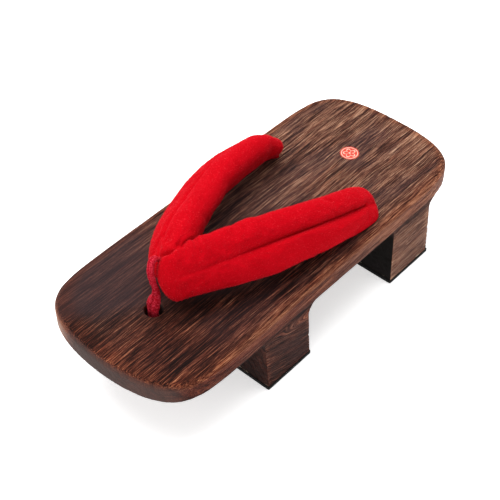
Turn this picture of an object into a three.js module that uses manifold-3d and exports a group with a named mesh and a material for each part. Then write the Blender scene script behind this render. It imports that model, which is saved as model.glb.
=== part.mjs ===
// Geta sandal: a wooden block with two teeth, a stuffed strap pair, a toe loop and its knots.
// Millimetres, +Z up. The toe points along -Y and the heel along +Y, so +X is the wearer's left.
// The origin is on the floor, under the middle of the board.
import * as THREE from "three";
import { mergeVertices } from "three/addons/utils/BufferGeometryUtils.js";
import Module from "manifold-3d";

const wasm = await Module();
wasm.setup();

// Board
const boardLength = 240;
const boardWidth = 100;
const boardThickness = 12;
const deckHeight = 48.5;
const topEdgeRadius = 3;
const lowerEdgeBevel = 1;
// The plan outline is a rounded rectangle with bulging ends: the powers of its curve at each end.
const toeCurve = { across: 2.05, along: 12 };
const heelCurve = { across: 2.6, along: 11.5 };

// Teeth, cut from the same block. A setback runs from that end of the board to the tooth's face,
// and depth is the tooth's size along Y, both where it meets the board. A shift is how far that
// face has moved along Y by the time it reaches the floor, and flare is how far each side stands
// out of the board's side there. A fillet runs along the top of each heel face.
const frontTooth = {
  end: "toe", setback: 67.1, depth: 34.7, toeShift: 1.4, heelShift: 0, flare: 1.2, fillet: 8,
};
const backTooth = {
  end: "heel", setback: 33, depth: 33.4, toeShift: -3.3, heelShift: -2.2, flare: 2.4, fillet: 5,
};
const toothShoulder = 0.6;
const padThickness = 2;
const padInset = 0.4;

// Holes for the loop and the straps
const toeHoleSetback = 39.8;
const toeHoleDiameter = 9.5;
const heelHoleInset = 16;
const heelHoleDiameter = 10;
const heelHoleSlant = 5;
const neckClearance = 0.6;

// Knots under the board. The groove between turns is a share of the knot's radius, and the flat
// is the share of a half circle that is left off its side view at each end.
const knotDiameter = 15;
const knotHeight = 9;
const knotTurns = 3;
const knotGroove = 0.12;
const knotFlat = 0.12;
const knotToTooth = 2;
const seatClearance = 0.3;

// Straps
const strapWidth = 28;
const strapThickness = 16;
const strapRise = 20.7;
const heelEndLength = 9.5;
const toeEndLength = 7.5;
const creaseDepth = 3;
const creaseSpread = 2.4;
const sectionPuff = 0.86;
const neckRoot = 2;
// One row for each section, from the heel hole to the toe. along: share of the way from the heel
// hole to the toe hole. across: share of the heel hole's distance from the middle. rise, width,
// thickness and crease: shares of those sizes. tilt: how far the strap leans outwards, degrees.
// The left strap's front end lies ahead of the right one's and over it.
const leftStrap = {
  side: 1,
  stations: [
    { along: 0.045, across: 1.01, rise: 0.17, width: 0.85, thickness: 0.88, crease: 0.6, tilt: 42 },
    { along: 0.145, across: 1, rise: 0.42, width: 0.92, thickness: 1.02, crease: 1, tilt: 47 },
    { along: 0.36, across: 0.92, rise: 0.77, width: 1, thickness: 1.1, crease: 1, tilt: 43 },
    { along: 0.575, across: 0.7, rise: 0.93, width: 1.09, thickness: 1.08, crease: 1, tilt: 43 },
    { along: 0.76, across: 0.425, rise: 0.99, width: 1.03, thickness: 1.02, crease: 0.8, tilt: 52 },
    { along: 0.925, across: 0.16, rise: 0.98, width: 0.94, thickness: 0.95, crease: 0.3, tilt: 56 },
  ],
};
const rightStrap = {
  side: -1,
  stations: [
    { along: 0.06, across: 1, rise: 0.32, width: 0.86, thickness: 0.8, crease: 0.5, tilt: 42 },
    { along: 0.145, across: 1, rise: 0.6, width: 0.96, thickness: 0.98, crease: 1, tilt: 50 },
    { along: 0.36, across: 0.9, rise: 0.83, width: 1.08, thickness: 1.1, crease: 1, tilt: 44 },
    { along: 0.575, across: 0.675, rise: 0.91, width: 1.12, thickness: 1.1, crease: 1, tilt: 41 },
    { along: 0.76, across: 0.38, rise: 0.97, width: 1.09, thickness: 1.14, crease: 0.8, tilt: 46 },
    { along: 0.87, across: 0.15, rise: 0.9, width: 1.04, thickness: 0.98, crease: 0.4, tilt: 54 },
  ],
};

// Toe loop, a flat strip that comes up out of the toe hole and in between the straps' joined ends.
const loopWidth = 7.4;
const loopThickness = 3.2;
const loopCrease = 0.5;
// rise: share of strapRise over the board. back: share of strapThickness behind the toe hole.
// side: share of loopWidth to the left.
const loopStations = [
  { rise: 0, back: 0, side: 0, width: 0.97 },
  { rise: 0.12, back: 0.02, side: 0, width: 1.1 },
  { rise: 0.25, back: 0.06, side: 0, width: 1.06 },
  { rise: 0.45, back: 0.13, side: 0.04, width: 0.74 },
  { rise: 0.65, back: 0.15, side: 0.05, width: 0.55 },
  { rise: 0.9, back: 0.1, side: -0.05, width: 0.56 },
  { rise: 1.12, back: 0.1, side: -0.24, width: 0.6 },
  { rise: 1.34, back: 0.16, side: -0.43, width: 0.6 },
  { rise: 1.5, back: 0.34, side: -0.57, width: 0.56 },
  { rise: 1.5, back: 0.66, side: -0.5, width: 0.5 },
];

// Steps of the curves
const outlineSteps = 96;
const edgeSteps = 3;
const filletSteps = 5;
const holeSteps = 24;
const strapSteps = 24;
const sectionSteps = 24;
const capSteps = 4;
const loopSteps = 18;
const loopSectionSteps = 12;
const knotTurnSteps = 6;

// Places worked out from the sizes above
const underside = deckHeight - boardThickness;
const toeHoleY = toeHoleSetback - boardLength / 2;
const backToothFace = boardLength / 2 - backTooth.setback - backTooth.depth;
const heelHoleX = boardWidth / 2 - heelHoleInset;
const heelHoleBottomY = backToothFace - knotToTooth - knotDiameter / 2;
const heelHoleY = heelHoleBottomY + heelHoleSlant;

const burntWood = new THREE.MeshStandardMaterial({ color: 0x4a3128, roughness: 0.62, metalness: 0 });
const blackRubber = new THREE.MeshStandardMaterial({ color: 0x151413, roughness: 0.85, metalness: 0 });
const redVelvet = new THREE.MeshStandardMaterial({ color: 0xc00a16, roughness: 0.95, metalness: 0 });
const redCrepe = new THREE.MeshStandardMaterial({ color: 0xa8182a, roughness: 0.9, metalness: 0 });
const cottonCord = new THREE.MeshStandardMaterial({ color: 0xcfc3ad, roughness: 0.9, metalness: 0 });

function signedPower(value, power) {
  return Math.sign(value) * Math.abs(value) ** power;
}

function middleOf(ring) {
  const sum = ring.reduce((total, point) => total.add(point), new THREE.Vector3());
  return sum.divideScalar(ring.length);
}

// Closed skin through rings of equal length, each turning anticlockwise seen from the last ring.
function loft(rings, firstTip = middleOf(rings[0]), lastTip = middleOf(rings.at(-1))) {
  const count = rings[0].length;
  const points = [...rings.flat(), firstTip, lastTip];
  const first = points.length - 2;
  const last = points.length - 1;
  const index = [];
  for (let r = 0; r < rings.length - 1; r += 1) {
    for (let i = 0; i < count; i += 1) {
      const near = r * count + i;
      const next = r * count + ((i + 1) % count);
      index.push(near, next, next + count);
      index.push(near, next + count, near + count);
    }
  }
  const top = (rings.length - 1) * count;
  for (let i = 0; i < count; i += 1) {
    const next = (i + 1) % count;
    index.push(first, next, i);
    index.push(last, top + i, top + next);
  }
  const geometry = new THREE.BufferGeometry();
  geometry.setAttribute("position", new THREE.Float32BufferAttribute(points.flatMap((p) => p.toArray()), 3));
  geometry.setIndex(index);
  geometry.computeVertexNormals();
  return geometry;
}

function toSolid(geometry) {
  const bare = geometry.clone();
  bare.deleteAttribute("normal");
  bare.deleteAttribute("uv");
  const merged = mergeVertices(bare);
  const vertProperties = new Float32Array(merged.attributes.position.array);
  const triVerts = new Uint32Array(merged.index.array);
  return new wasm.Manifold(new wasm.Mesh({ numProp: 3, vertProperties, triVerts }));
}

function toGeometry(solid) {
  const { vertProperties, triVerts } = solid.getMesh();
  const geometry = new THREE.BufferGeometry();
  geometry.setAttribute("position", new THREE.BufferAttribute(vertProperties, 3));
  geometry.setIndex(new THREE.BufferAttribute(triVerts, 1));
  geometry.computeVertexNormals();
  return geometry;
}

// The board's outline at one height, drawn in from its side by inset.
function boardRing(inset, z) {
  const ring = [];
  for (let i = 0; i < outlineSteps; i += 1) {
    const turn = (2 * Math.PI * i) / outlineSteps;
    const { across, along } = Math.sin(turn) < 0 ? toeCurve : heelCurve;
    const x = (boardWidth / 2 - inset) * signedPower(Math.cos(turn), 2 / across);
    const y = (boardLength / 2 - inset) * signedPower(Math.sin(turn), 2 / along);
    ring.push(new THREE.Vector3(x, y, z));
  }
  return ring;
}

function boardSolid() {
  const rings = [boardRing(lowerEdgeBevel, underside), boardRing(0, underside + lowerEdgeBevel)];
  for (let i = 0; i <= edgeSteps; i += 1) {
    const turn = (Math.PI / 2) * (i / edgeSteps);
    const inset = topEdgeRadius * (1 - Math.cos(turn));
    rings.push(boardRing(inset, deckHeight - topEdgeRadius + topEdgeRadius * Math.sin(turn)));
  }
  return toSolid(loft(rings));
}

// A tooth's faces along Y where it meets the board and at its foot.
function toothFaces(tooth) {
  const fromToe = tooth.setback - boardLength / 2;
  const fromHeel = boardLength / 2 - tooth.setback - tooth.depth;
  const toeTop = tooth.end === "toe" ? fromToe : fromHeel;
  const heelTop = toeTop + tooth.depth;
  return { toeTop, heelTop, toeFoot: toeTop + tooth.toeShift, heelFoot: heelTop + tooth.heelShift };
}

function toothHalfWidth(tooth, z) {
  const share = (underside - z) / (underside - padThickness);
  return boardWidth / 2 - toothShoulder + (tooth.flare + toothShoulder) * share;
}

// The tooth's outline seen from the side, with a fillet where its heel face meets the board.
function toothProfile(tooth) {
  const { toeTop, heelTop, toeFoot, heelFoot } = toothFaces(tooth);
  const rooted = underside + boardThickness / 2;
  const fillet = Math.min(tooth.fillet, (underside - padThickness) / 2);
  const profile = [[toeTop, rooted], [toeTop, underside], [toeFoot, padThickness], [heelFoot, padThickness]];
  for (let i = 0; i <= filletSteps; i += 1) {
    const turn = (Math.PI / 2) * (i / filletSteps);
    const y = heelTop + fillet * (1 - Math.cos(turn));
    profile.push([y, underside - fillet + fillet * Math.sin(turn)]);
  }
  profile.push([heelTop + fillet, rooted]);
  return profile;
}

function toothSolid(tooth) {
  const profile = toothProfile(tooth);
  const sides = [1, -1].map((side) =>
    profile.map(([y, z]) => new THREE.Vector3(side * toothHalfWidth(tooth, z), y, z)));
  const flat = profile.map(([y, z]) => new THREE.Vector2(y, z));
  const caps = THREE.ShapeUtils.triangulateShape(flat, []);
  const count = profile.length;
  const index = [];
  for (const [a, b, c] of caps) {
    index.push(a, b, c);
    index.push(count + a, count + c, count + b);
  }
  for (let i = 0; i < count; i += 1) {
    const next = (i + 1) % count;
    index.push(i, count + i, count + next);
    index.push(i, count + next, next);
  }
  const geometry = new THREE.BufferGeometry();
  const points = sides.flat().flatMap((p) => p.toArray());
  geometry.setAttribute("position", new THREE.Float32BufferAttribute(points, 3));
  geometry.setIndex(index);
  return toSolid(geometry);
}

// Flat round sections whose middle moves evenly from one end to the other.
function slantedRod(radius, from, to) {
  const ringAt = (middle) => {
    const ring = [];
    for (let i = 0; i < holeSteps; i += 1) {
      const turn = (2 * Math.PI * i) / holeSteps;
      ring.push(new THREE.Vector3(Math.cos(turn) * radius, Math.sin(turn) * radius, 0).add(middle));
    }
    return ring;
  };
  return toSolid(loft([ringAt(from), ringAt(to)]));
}

// A rod along a heel hole's slanting line, between two heights.
function heelHoleRod(side, radius, low, high) {
  const slope = heelHoleSlant / boardThickness;
  const at = (z) => new THREE.Vector3(side * heelHoleX, heelHoleY + (z - deckHeight) * slope, z);
  return slantedRod(radius, at(low), at(high));
}

function woodenBlock() {
  const over = boardThickness / 2;
  let block = boardSolid().add(toothSolid(frontTooth)).add(toothSolid(backTooth));
  const toeHoleLow = new THREE.Vector3(0, toeHoleY, underside - over);
  const toeHoleHigh = new THREE.Vector3(0, toeHoleY, deckHeight + over);
  block = block.subtract(slantedRod(toeHoleDiameter / 2, toeHoleLow, toeHoleHigh));
  for (const side of [1, -1]) {
    block = block.subtract(heelHoleRod(side, heelHoleDiameter / 2, underside - over, deckHeight + over));
  }
  return toGeometry(block);
}

function treadPad(tooth) {
  const { toeFoot, heelFoot } = toothFaces(tooth);
  const width = 2 * (toothHalfWidth(tooth, padThickness) - padInset);
  const depth = heelFoot - toeFoot - 2 * padInset;
  const pad = new THREE.BoxGeometry(width, depth, padThickness);
  pad.translate(0, (toeFoot + heelFoot) / 2, padThickness / 2);
  return pad;
}

// The strap's section, as offsets along its width and through its thickness.
function strapSection(halfWidth, halfThickness, crease) {
  const section = [];
  for (let i = 0; i < sectionSteps; i += 1) {
    const turn = (2 * Math.PI * i) / sectionSteps;
    const wide = halfWidth * Math.cos(turn);
    const groove = Math.sin(turn) > 0 ? crease * Math.exp(-Math.abs(wide) / creaseSpread) : 0;
    section.push([wide, halfThickness * signedPower(Math.sin(turn), sectionPuff) - groove]);
  }
  return section;
}

// The strap's middle line with its sizes, at a share t of its way from the heel hole to the toe.
function strapCurves({ side, stations }) {
  const places = stations.map((row) => new THREE.Vector3(
    side * row.across * heelHoleX,
    THREE.MathUtils.lerp(heelHoleY, toeHoleY, row.along),
    deckHeight + row.rise * strapRise,
  ));
  const sizes = stations.map((row) => new THREE.Vector3(
    (row.width * strapWidth) / 2,
    (row.thickness * strapThickness) / 2,
    row.crease * creaseDepth,
  ));
  const tilts = stations.map((row) => new THREE.Vector3(row.tilt, 0, 0));
  const smooth = (points) => new THREE.CatmullRomCurve3(points, false, "catmullrom", 0.5);
  return { place: smooth(places), size: smooth(sizes), tilt: smooth(tilts) };
}

// One section of the strap, shrunk by scale and pushed along the strap by ahead.
function strapRing(curves, side, t, scale, ahead) {
  const tangent = curves.place.getTangent(t);
  const up = new THREE.Vector3(0, 0, 1).addScaledVector(tangent, -tangent.z).normalize();
  const lateral = up.clone().cross(tangent);
  const tilt = THREE.MathUtils.degToRad(curves.tilt.getPoint(t).x);
  const normal = up.multiplyScalar(Math.cos(tilt)).addScaledVector(lateral, side * Math.sin(tilt));
  const wide = normal.clone().cross(tangent);
  const middle = curves.place.getPoint(t).addScaledVector(tangent, ahead);
  const size = curves.size.getPoint(t);
  return strapSection(size.x * scale, size.y * scale, size.z * scale).map(([w, n]) =>
    middle.clone().addScaledVector(wide, w).addScaledVector(normal, n));
}

function strapSolid(strap) {
  const curves = strapCurves(strap);
  const rings = [];
  for (let i = 1; i < capSteps; i += 1) {
    const turn = (Math.PI / 2) * (i / capSteps);
    rings.push(strapRing(curves, strap.side, 0, Math.sin(turn), -heelEndLength * Math.cos(turn)));
  }
  for (let i = 0; i <= strapSteps; i += 1) {
    rings.push(strapRing(curves, strap.side, i / strapSteps, 1, 0));
  }
  for (let i = capSteps - 1; i > 0; i -= 1) {
    const turn = (Math.PI / 2) * (i / capSteps);
    rings.push(strapRing(curves, strap.side, 1, Math.sin(turn), toeEndLength * Math.cos(turn)));
  }
  const tipAt = (t, ahead) => curves.place.getPoint(t).addScaledVector(curves.place.getTangent(t), ahead);
  return toSolid(loft(rings, tipAt(0, -heelEndLength), tipAt(1, toeEndLength)));
}

// The toe loop, with its section grown all round by grow.
function loopSolid(grow) {
  const places = loopStations.map(({ rise, back, side }) => new THREE.Vector3(
    side * loopWidth,
    toeHoleY + back * strapThickness,
    deckHeight + rise * strapRise,
  ));
  places.unshift(new THREE.Vector3(0, toeHoleY, underside));
  const widths = loopStations.map(({ width }) => new THREE.Vector3((width * loopWidth) / 2, 0, 0));
  widths.unshift(widths[0]);
  const place = new THREE.CatmullRomCurve3(places, false, "centripetal");
  const widthCurve = new THREE.CatmullRomCurve3(widths, false, "catmullrom", 0.5);
  const rings = [];
  for (let i = 0; i <= loopSteps; i += 1) {
    const t = i / loopSteps;
    const tangent = place.getTangent(t);
    const through = tangent.clone().cross(new THREE.Vector3(1, 0, 0)).normalize();
    const across = through.clone().cross(tangent);
    const halfWidth = widthCurve.getPoint(t).x + grow;
    const halfThickness = loopThickness / 2 + grow;
    const ring = [];
    for (let k = 0; k < loopSectionSteps; k += 1) {
      const turn = (2 * Math.PI * k) / loopSectionSteps;
      const isCrease = Math.abs(Math.cos(turn)) < 1 / loopSectionSteps;
      const depth = halfThickness * Math.sin(turn) * (isCrease ? 1 - loopCrease / halfThickness : 1);
      ring.push(place.getPoint(t)
        .addScaledVector(across, halfWidth * Math.cos(turn))
        .addScaledVector(through, depth));
    }
    rings.push(ring);
  }
  const tip = place.getTangent(1).multiplyScalar(loopThickness / 2 + grow).add(place.getPoint(1));
  return toSolid(loft(rings, middleOf(rings[0]), tip));
}

// Both straps as one: joined at the toe, seated on the board, necked down into the heel holes
// and grooved for the toe loop.
function strapPair() {
  const seat = new THREE.BoxGeometry(2 * boardWidth, 2 * boardLength, deckHeight);
  seat.translate(0, 0, deckHeight / 2 + seatClearance);
  let pair = strapSolid(leftStrap).add(strapSolid(rightStrap)).subtract(toSolid(seat));
  for (const side of [1, -1]) {
    const radius = heelHoleDiameter / 2 - neckClearance;
    pair = pair.add(heelHoleRod(side, radius, underside, deckHeight + neckRoot));
  }
  return toGeometry(pair.subtract(loopSolid(seatClearance)));
}

// A stopper knot of a few turns, its flat top just under the board.
function knot(x, y) {
  const levels = knotTurnSteps * knotTurns;
  const rings = [];
  for (let i = 0; i <= levels; i += 1) {
    const share = i / levels;
    const round = Math.sqrt(Math.sin(Math.PI * (knotFlat + (1 - 2 * knotFlat) * share)));
    const bulge = 1 - knotGroove + knotGroove * Math.abs(Math.sin(Math.PI * knotTurns * share));
    const radius = (knotDiameter / 2) * round * bulge;
    const ring = [];
    for (let k = 0; k < holeSteps; k += 1) {
      const turn = (2 * Math.PI * k) / holeSteps;
      const z = underside - seatClearance - knotHeight * (1 - share);
      ring.push(new THREE.Vector3(x + radius * Math.cos(turn), y + radius * Math.sin(turn), z));
    }
    rings.push(ring);
  }
  return loft(rings);
}

const group = new THREE.Group();

function addPiece(name, geometry, material) {
  const mesh = new THREE.Mesh(geometry, material);
  mesh.name = name;
  group.add(mesh);
}

addPiece("wooden_block", woodenBlock(), burntWood);
addPiece("front_tread_pad", treadPad(frontTooth), blackRubber);
addPiece("back_tread_pad", treadPad(backTooth), blackRubber);
addPiece("strap_pair", strapPair(), redVelvet);
addPiece("toe_loop", toGeometry(loopSolid(0)), redCrepe);
addPiece("toe_knot", knot(0, toeHoleY), cottonCord);
addPiece("left_knot", knot(heelHoleX, heelHoleBottomY), cottonCord);
addPiece("right_knot", knot(-heelHoleX, heelHoleBottomY), cottonCord);

export default group;
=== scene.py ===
import math

import bmesh
import bpy
import numpy as np
from mathutils import Matrix, Vector, noise
from mathutils.bvhtree import BVHTree
from mathutils.kdtree import KDTree


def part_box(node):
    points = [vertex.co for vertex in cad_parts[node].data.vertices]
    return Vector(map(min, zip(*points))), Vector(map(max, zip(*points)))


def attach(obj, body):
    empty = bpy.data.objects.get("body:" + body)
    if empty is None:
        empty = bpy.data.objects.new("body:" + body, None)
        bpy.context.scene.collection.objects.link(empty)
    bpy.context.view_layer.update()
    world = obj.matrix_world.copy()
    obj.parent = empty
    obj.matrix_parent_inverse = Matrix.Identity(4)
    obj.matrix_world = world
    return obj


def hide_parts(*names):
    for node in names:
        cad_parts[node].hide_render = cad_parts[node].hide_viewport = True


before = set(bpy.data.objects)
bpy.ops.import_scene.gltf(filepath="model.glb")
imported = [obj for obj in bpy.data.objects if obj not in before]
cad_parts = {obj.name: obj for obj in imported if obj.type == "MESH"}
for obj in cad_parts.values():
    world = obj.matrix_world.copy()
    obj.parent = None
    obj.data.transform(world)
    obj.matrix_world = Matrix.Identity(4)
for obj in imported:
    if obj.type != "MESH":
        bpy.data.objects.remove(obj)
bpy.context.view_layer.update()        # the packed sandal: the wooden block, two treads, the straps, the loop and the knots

mm = 0.001


def nodeBox(node):
    low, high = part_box(node)
    return np.array(low) / mm, np.array(high) / mm


blockHigh = nodeBox("wooden_block")[1]
deckZ = float(blockHigh[2])
halfLength = float(blockHigh[1])
toeKnotLow, toeKnotHigh = nodeBox("toe_knot")
heelKnotLow, heelKnotHigh = nodeBox("left_knot")
toeHole = (toeKnotLow + toeKnotHigh) / 2
heelHole = (heelKnotLow + heelKnotHigh) / 2


# Small helpers

def paint(red, green, blue):
    def linear(value):
        value = value / 255
        return value / 12.92 if value <= 0.04045 else ((value + 0.055) / 1.055) ** 2.4
    return linear(red), linear(green), linear(blue), 1.0


def smoothStep(low, high, value):
    share = np.clip((value - low) / (high - low), 0, 1)
    return share * share * (3 - 2 * share)


def fullTurn(steps):
    return np.linspace(0, 2 * math.pi, steps, endpoint=False)


def atHeight(flat, z):
    return np.column_stack([flat, np.full(len(flat), z)])


def addToScene(thing):
    bpy.context.scene.collection.objects.link(thing)


def signedPower(value, power):
    return np.sign(value) * np.abs(value) ** power


def smoothThrough(rows, share):
    # a smooth curve through the rows, read at shares of its way from 0 to 1
    rows = np.asarray(rows, float)
    ends = np.vstack([2 * rows[0] - rows[1], rows, 2 * rows[-1] - rows[-2]])
    place = np.clip(share, 0, 1) * (len(rows) - 1)
    index = np.minimum(place.astype(int), len(rows) - 2)
    f = (place - index)[:, None]
    a, b, c, d = (ends[index + k] for k in range(4))
    return b + 0.5 * f * (c - a + f * (2 * a - 5 * b + 4 * c - d + f * (3 * (b - c) + d - a)))


def gridNoise(points, seed=0.0):
    return np.array([noise.noise(Vector((x, y, z + seed))) for x, y, z in points])


def loftFaces(rings, around, firstTip=None, lastTip=None):
    faces = []
    for r in range(rings - 1):
        for i in range(around):
            near, next_ = r * around + i, r * around + (i + 1) % around
            faces.append((near, next_, next_ + around, near + around))
    top = (rings - 1) * around
    for i in range(around):
        following = (i + 1) % around
        if firstTip is not None:
            faces.append((firstTip, following, i))
        if lastTip is not None:
            faces.append((lastTip, top + i, top + following))
    return faces


def newPiece(name, points, faces):
    mesh = bpy.data.meshes.new(name)
    mesh.from_pydata((np.asarray(points) * mm).tolist(), [], faces)
    piece = bpy.data.objects.new(name, mesh)
    addToScene(piece)
    tidyMesh(mesh)
    return piece


def stackPiece(name, rings):
    # a closed piece from rings of points, low to high, with flat ends
    around = len(rings[0])
    top = (len(rings) - 1) * around
    faces = loftFaces(len(rings), around)
    faces += [tuple(range(around))[::-1], tuple(range(top, top + around))]
    return newPiece(name, np.vstack(rings), faces)


def tubePiece(name, grid, tips):
    # a closed piece from a grid of sections, with one point at each end
    rings, around = grid.shape[:2]
    points = np.vstack([grid.reshape(-1, 3), *tips])
    return newPiece(name, points, loftFaces(rings, around, rings * around, rings * around + 1))


def alongPath(path):
    # the directions along a path of points
    tangent = np.gradient(path, axis=0)
    return tangent / np.linalg.norm(tangent, axis=1)[:, None]


def pathLengths(path):
    return np.concatenate([[0], np.cumsum(np.linalg.norm(np.diff(path, axis=0), axis=1))])


mergeDistance = 1e-7


def tidyMesh(mesh):
    build = bmesh.new()
    build.from_mesh(mesh)
    bmesh.ops.remove_doubles(build, verts=build.verts, dist=mergeDistance)
    bmesh.ops.recalc_face_normals(build, faces=build.faces)
    build.to_mesh(mesh)
    build.free()
    mesh.update()


def pointsOf(piece):
    places = np.zeros(len(piece.data.vertices) * 3, np.float32)
    piece.data.vertices.foreach_get("co", places)
    return places.reshape(-1, 3).astype(float) / mm


def normalsOf(piece):
    normals = np.zeros(len(piece.data.vertices) * 3, np.float32)
    piece.data.vertices.foreach_get("normal", normals)
    return normals.reshape(-1, 3).astype(float)


def movePoints(piece, places):
    piece.data.vertices.foreach_set("co", (places * mm).astype(np.float32).ravel())
    piece.data.update()


def keepNumbers(piece, **numbers):
    for name, values in numbers.items():
        attribute = piece.data.attributes.new(name, "FLOAT", "POINT")
        attribute.data.foreach_set("value", np.asarray(values, np.float32))


def keepPlaces(piece, name, places):
    attribute = piece.data.attributes.new(name, "FLOAT_VECTOR", "POINT")
    attribute.data.foreach_set("vector", np.asarray(places, np.float32).ravel())


def combine(piece, tool, operation):
    # joins or cuts by a closed tool, which is then thrown away
    modifier = piece.modifiers.new("combine", "BOOLEAN")
    modifier.object, modifier.operation, modifier.solver = tool, operation, "MANIFOLD"
    graph = bpy.context.evaluated_depsgraph_get()
    mesh = bpy.data.meshes.new_from_object(piece.evaluated_get(graph))
    piece.modifiers.clear()
    piece.data = mesh
    bpy.data.objects.remove(tool)


def finishPiece(piece, material, slot, *nodes, sharpAbove=None):
    piece.data.materials.clear()
    piece.data.materials.append(material)
    piece.data.polygons.foreach_set("use_smooth", [True] * len(piece.data.polygons))
    if sharpAbove is not None:
        piece.data.set_sharp_from_angle(angle=math.radians(sharpAbove))
    if nodes:
        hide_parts(*nodes)
    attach(piece, "root")
    print(f"{piece.name}: {len(piece.data.polygons)} faces")


# Material helpers

class Nodes:
    # a material's nodes, with short calls for the ones used often
    def __init__(self, name):
        self.material = bpy.data.materials.new(name)
        self.material.use_nodes = True
        self.tree = self.material.node_tree
        self.shader = self.tree.nodes["Principled BSDF"]

    def add(self, kind, **settings):
        node = self.tree.nodes.new(kind)
        for name, value in settings.items():
            setattr(node, name, value)
        return node

    def put(self, socket, value):
        if isinstance(value, bpy.types.NodeSocket):
            self.tree.links.new(value, socket)
        elif value is not None:
            socket.default_value = value

    def set(self, **values):
        for name, value in values.items():
            self.put(self.shader.inputs[name.replace("_", " ")], value)

    def number(self, name):
        return self.add("ShaderNodeAttribute", attribute_name=name).outputs["Fac"]

    def places(self, name=None):
        # places in millimetres, from the piece's own attribute or from Object coordinates
        if name:
            return self.add("ShaderNodeAttribute", attribute_name=name).outputs["Vector"]
        source = self.add("ShaderNodeTexCoord").outputs["Object"]
        scaled = self.add("ShaderNodeVectorMath", operation="SCALE")
        self.put(scaled.inputs[0], source)
        self.put(scaled.inputs["Scale"], 1 / mm)
        return scaled.outputs[0]

    def stretch(self, places, scale, shift=(0, 0, 0)):
        mapping = self.add("ShaderNodeMapping")
        self.put(mapping.inputs["Vector"], places)
        self.put(mapping.inputs["Scale"], scale)
        self.put(mapping.inputs["Location"], shift)
        return mapping.outputs[0]

    def noise(self, places, scale, detail=3.0, roughness=0.55, distortion=0.0, shift=(0, 0, 0)):
        node = self.add("ShaderNodeTexNoise")
        self.put(node.inputs["Vector"], self.stretch(places, scale, shift))
        self.put(node.inputs["Scale"], 1.0)
        self.put(node.inputs["Detail"], detail)
        self.put(node.inputs["Roughness"], roughness)
        self.put(node.inputs["Distortion"], distortion)
        return node.outputs["Fac"]

    def parts(self, places):
        split = self.add("ShaderNodeSeparateXYZ")
        self.put(split.inputs[0], places)
        return tuple(split.outputs)

    def math(self, operation, a, b=None, c=None):
        node = self.add("ShaderNodeMath", operation=operation)
        for socket, value in zip(node.inputs, (a, b, c)):
            self.put(socket, value)
        return node.outputs[0]

    def product(self, first, *others):
        for value in others:
            first = self.math("MULTIPLY", first, value)
        return first

    def most(self, first, *others):
        for value in others:
            first = self.math("MAXIMUM", first, value)
        return first

    def without(self, value, share=1.0):
        # 1 less the given share of the value
        return self.math("MULTIPLY_ADD", value, -share, 1.0)

    def apart(self, value, place):
        return self.math("ABSOLUTE", self.math("SUBTRACT", value, place))

    def reach(self, a, b):
        squares = self.math("ADD", self.math("POWER", a, 2.0), self.math("POWER", b, 2.0))
        return self.math("SQRT", squares)

    def total(self, start, *terms):
        # start plus each (value, weight, middle) as weight * (value - middle)
        result = start
        for value, weight, middle in terms:
            shifted = self.math("SUBTRACT", value, middle)
            result = self.math("MULTIPLY_ADD", shifted, weight, result)
        return result

    def spread(self, value, low, high, lowTo=0.0, highTo=1.0):
        node = self.add("ShaderNodeMapRange", interpolation_type="SMOOTHSTEP")
        for name, given in (("Value", value), ("From Min", low), ("From Max", high),
                            ("To Min", lowTo), ("To Max", highTo)):
            self.put(node.inputs[name], given)
        return node.outputs[0]

    def zone(self, *limits):
        # the product of spreads, each a value with the places where it counts as 0 and as 1
        return self.product(*(self.spread(*limit) for limit in limits))

    def ramp(self, value, stops):
        node = self.add("ShaderNodeValToRGB")
        elements = node.color_ramp.elements
        while len(elements) < len(stops):
            elements.new(0.5)
        for element, (position, colour) in zip(elements, stops):
            element.position = position
            element.color = paint(*colour)
        self.put(node.inputs[0], value)
        return node.outputs[0]

    def mix(self, share, a, b, blend="MIX"):
        node = self.add("ShaderNodeMix", data_type="RGBA", blend_type=blend)
        self.put(node.inputs[0], share)
        self.put(node.inputs[6], a)
        self.put(node.inputs[7], b)
        return node.outputs[2]

    def bump(self, height, strength, distance, after=None):
        node = self.add("ShaderNodeBump")
        self.put(node.inputs["Strength"], strength)
        self.put(node.inputs["Distance"], distance * mm)
        self.put(node.inputs["Height"], height)
        self.put(node.inputs["Normal"], after)
        return node.outputs[0]


# Camera, at the photograph's angle to this shoe

view = {
    "azimuth": 42.25, "elevation": 45.32, "roll": -0.56,
    "distance": 628.0, "aim": (2.6, -11.4, 40.0), "lens": 85.2,
}


def addCamera():
    azimuth, elevation, roll = (math.radians(view[k]) for k in ("azimuth", "elevation", "roll"))
    back = Vector((math.sin(azimuth) * math.cos(elevation),
                   -math.cos(azimuth) * math.cos(elevation), math.sin(elevation)))
    level = Vector((math.cos(azimuth), math.sin(azimuth), 0))
    upright = back.cross(level)
    right = math.cos(roll) * level + math.sin(roll) * upright
    up = math.cos(roll) * upright - math.sin(roll) * level
    data = bpy.data.cameras.new("camera")
    data.lens, data.sensor_width = view["lens"], 36.0
    data.clip_start, data.clip_end = 0.01, 20.0
    camera = bpy.data.objects.new("camera", data)
    turn = Matrix((right, up, back)).transposed().to_4x4()
    camera.matrix_world = Matrix.Translation((Vector(view["aim"]) + view["distance"] * back) * mm) @ turn
    addToScene(camera)
    bpy.context.scene.camera = camera


addCamera()
print("camera placed")


# Wooden block

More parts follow.
